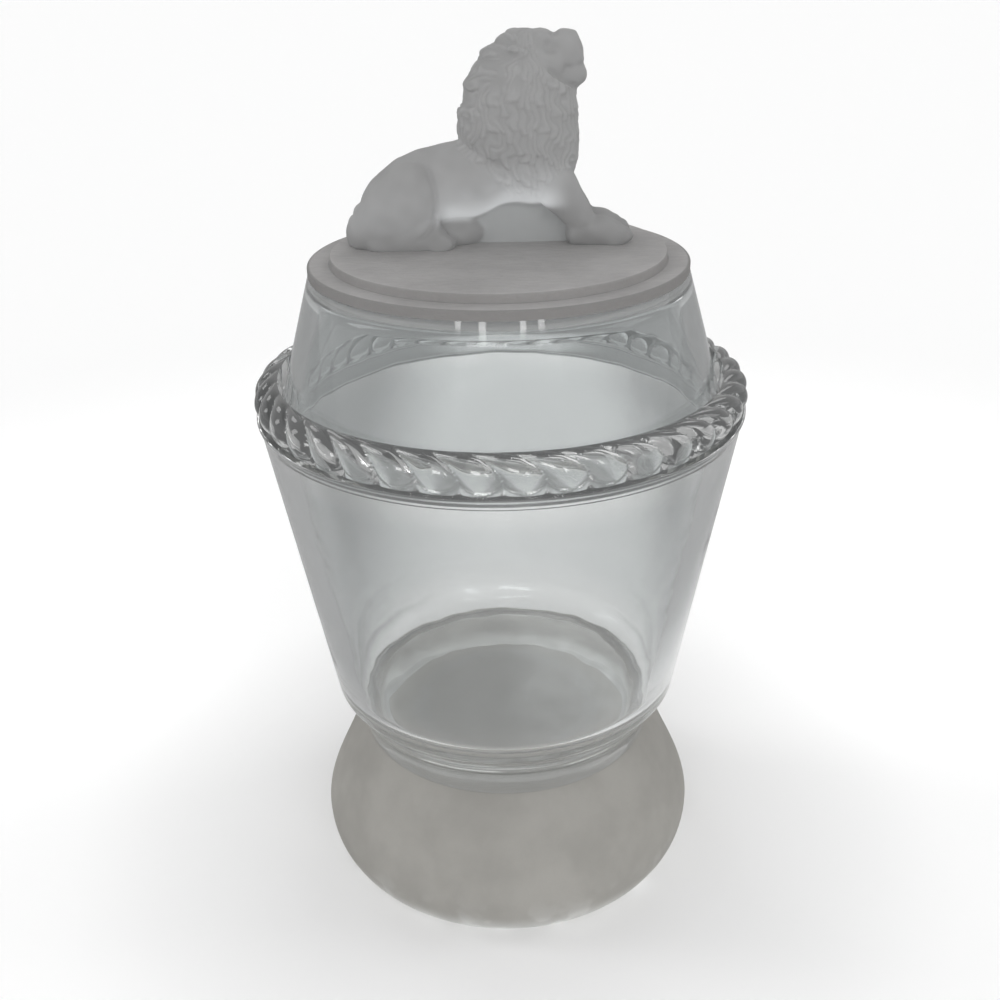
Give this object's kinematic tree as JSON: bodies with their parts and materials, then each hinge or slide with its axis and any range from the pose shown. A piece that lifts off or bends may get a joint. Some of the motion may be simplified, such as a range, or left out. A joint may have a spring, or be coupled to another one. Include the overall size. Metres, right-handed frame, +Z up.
{
  "type": "marmalade jar",
  "caption": "Pressed-glass jar on a hollow frosted foot, with a rope rim and a lift-off cover that carries a lying frosted lion.",
  "frame": {"origin": "middle of the foot's resting ring, on the table", "axes": "+Z up along the jar's axis; the lion faces +X"},
  "size_m": [0.0994, 0.0994, 0.178],
  "materials": {
    "frosted_foot": "frosted outside, satin",
    "clear_bowl": "clear, fire-polished",
    "clear_rope": "clear, fire-polished",
    "clear_cover": "clear, fire-polished",
    "frosted_disc": "frosted, fine stippled ground",
    "frosted_lion": "frosted, satin"
  },
  "bodies": {
    "jar": {"foot": "frosted_foot", "bowl": "clear_bowl", "rope_rim": "clear_rope"},
    "cover": {"cover_shell": "clear_cover", "cover_top": "frosted_disc", "lion": "frosted_lion"}
  },
  "joints": [
    {"name": "cover_lift", "type": "slide", "parent": "jar", "child": "cover", "axis": [0, 0, 1], "range_m": [0, 0.06]}
  ]
}
